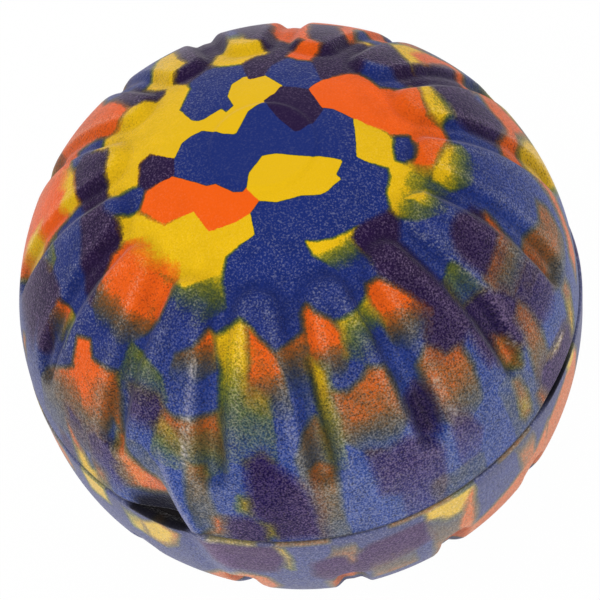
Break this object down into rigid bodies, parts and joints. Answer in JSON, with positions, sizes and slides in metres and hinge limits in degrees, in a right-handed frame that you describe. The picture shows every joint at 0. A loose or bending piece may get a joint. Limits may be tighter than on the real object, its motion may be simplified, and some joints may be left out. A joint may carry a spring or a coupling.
{
  "type": "dog ball",
  "caption": "Foam-covered fetch ball for dogs: moulded half covers with round-ended lobes and grooves, joined in an equator seam and glued over a hollow rubber core.",
  "frame": {"origin": "centre of the ball", "axes": "+Z along the axis through the two polar pads, towards the upper cover; the seam lies in the XY plane; -Y faces the picture's camera"},
  "size_m": [0.09, 0.09, 0.0882],
  "materials": {
    "cover_foam": "matte closed-cell foam, marbled in blue, dark purple, orange and yellow, smooth at the poles and grainy towards the seam",
    "adhesive": "dried contact adhesive, amber, slightly glossy",
    "core_rubber": "moulded black rubber, satin",
    "cement": "vulcanised rubber cement, dull brown"
  },
  "bodies": {
    "root": {"upper_cover": "cover_foam", "lower_cover": "cover_foam", "cover_seam_bond": "adhesive", "upper_cover_bond": "adhesive", "lower_cover_bond": "adhesive", "core_front_half": "core_rubber", "core_rear_half": "core_rubber", "core_joint_cement": "cement"}
  },
  "joints": []
}
